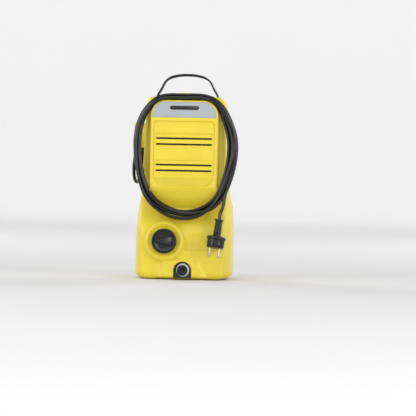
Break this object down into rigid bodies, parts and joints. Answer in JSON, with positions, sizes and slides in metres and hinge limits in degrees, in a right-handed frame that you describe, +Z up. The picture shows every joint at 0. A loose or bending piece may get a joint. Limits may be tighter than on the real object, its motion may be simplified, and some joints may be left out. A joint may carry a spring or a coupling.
{
  "type": "pressure washer",
  "caption": "Upright compact mains pressure washer in a two-shell housing with switch knob, hose outlet, carrying strap, gun holder and a wound mains lead.",
  "frame": {"origin": "centre of the box round the machine without its mains lead, on the plane its feet stand on", "axes": "+Z up, -Y the front with the knob and the hose outlet, +X to the right as seen from the front"},
  "size_m": [0.2126, 0.1929, 0.4128],
  "materials": {
    "yellow_plastic": "satin moulded plastic, warm yellow",
    "label_grey": "satin grey plate",
    "grey_plastic": "satin grey plastic",
    "black_plastic": "satin black plastic",
    "white_plastic": "natural nylon",
    "black_rubber": "soft matt rubber",
    "cord_jacket": "smooth black lead jacket",
    "steel": "ground steel",
    "aluminium": "die-cast, lightly textured",
    "copper": "copper winding and segments",
    "brass": "turned brass",
    "carbon": "pressed carbon",
    "plug_pins": "nickel plated"
  },
  "bodies": {
    "housing": {"front_housing": "yellow_plastic", "rear_housing": "yellow_plastic", "gun_holder": "yellow_plastic", "label_plate": "label_grey", "mains_switch": "black_plastic", "outlet_bezel": "black_plastic", "outlet_socket": "black_plastic", "water_inlet": "black_plastic", "mains_plug": "black_plastic", "inlet_filter": "white_plastic", "interference_capacitor": "white_plastic", "foot_front_left": "black_rubber", "foot_front_right": "black_rubber", "foot_rear_left": "black_rubber", "foot_rear_right": "black_rubber", "outlet_seal": "black_rubber", "cord_gland": "black_rubber", "cord_lead": "cord_jacket", "cord_coil": "cord_jacket", "cord_tail": "cord_jacket", "switch_lead": "cord_jacket", "housing_screw_1": "steel", "housing_screw_2": "steel", "housing_screw_3": "steel", "housing_screw_4": "steel", "piston_spring_1": "steel", "piston_spring_2": "steel", "piston_spring_3": "steel", "control_spring": "steel", "swash_bearing": "steel", "stator_core": "steel", "lower_bearing": "steel", "upper_bearing": "steel", "cylinder_head": "aluminium", "pump_block": "aluminium", "gear_case": "aluminium", "motor_bridge": "aluminium", "field_winding_left": "copper", "field_winding_right": "copper", "brush_left": "carbon", "brush_right": "carbon", "plug_pin_left": "plug_pins", "plug_pin_right": "plug_pins"},
    "strap": {"carry_strap": "black_rubber"},
    "knob": {"switch_knob": "black_plastic", "switch_shaft": "grey_plastic"},
    "plunger": {"switch_plunger": "white_plastic"},
    "release_ring": {"outlet_release_ring": "grey_plastic"},
    "piston_a": {"piston_1": "steel"},
    "piston_b": {"piston_2": "steel"},
    "piston_c": {"piston_3": "steel"},
    "control": {"control_piston": "brass"},
    "swash": {"swash_plate": "steel", "thrust_bearing": "steel", "drive_gear": "steel"},
    "rotor": {"pinion": "steel", "motor_shaft": "steel", "rotor_core": "steel", "commutator": "copper", "cooling_fan": "black_plastic"}
  },
  "joints": [
    {"name": "strap_slide", "type": "slide", "parent": "housing", "child": "strap", "axis": [0, 0, 1], "range_m": [-0.01, 0]},
    {"name": "knob_turn", "type": "hinge", "parent": "housing", "child": "knob", "pos_m": [-0.02925, -0.07, 0.077], "axis": [0, 1, 0], "range_deg": [0, 90]},
    {"name": "plunger_slide", "type": "slide", "parent": "housing", "child": "plunger", "axis": [0, 0, -1], "range_m": [0, 0.0021]},
    {"name": "release_ring_slide", "type": "slide", "parent": "housing", "child": "release_ring", "axis": [0, 1, 0], "range_m": [0, 0.003], "stiffness_N_per_m": 600},
    {"name": "piston_a_stroke", "type": "slide", "parent": "housing", "child": "piston_a", "axis": [0, 0, 1], "range_m": [0, 0.005], "stiffness_N_per_m": 1500, "deforming": ["piston_spring_1"]},
    {"name": "piston_b_stroke", "type": "slide", "parent": "housing", "child": "piston_b", "axis": [0, 0, 1], "range_m": [0, 0.005], "stiffness_N_per_m": 1500, "deforming": ["piston_spring_2"]},
    {"name": "piston_c_stroke", "type": "slide", "parent": "housing", "child": "piston_c", "axis": [0, 0, 1], "range_m": [0, 0.005], "stiffness_N_per_m": 1500, "deforming": ["piston_spring_3"]},
    {"name": "control_slide", "type": "slide", "parent": "housing", "child": "control", "axis": [0, 0, 1], "range_m": [0, 0.003], "stiffness_N_per_m": 1500, "deforming": ["control_spring"]},
    {"name": "swash_spin", "type": "hinge", "parent": "housing", "child": "swash", "pos_m": [0.02175, 0.01, 0.1], "axis": [0, 0, 1], "continuous": true},
    {"name": "rotor_spin", "type": "hinge", "parent": "housing", "child": "rotor", "pos_m": [-0.01725, 0.01, 0.18], "axis": [0, 0, 1], "continuous": true}
  ],
  "couplings": [
    {"joint": "rotor_spin", "follows": "swash_spin", "ratio": -3.3333},
    {"joint": "plunger_slide", "follows": "knob_turn", "m_per_rad": 0.00127}
  ]
}
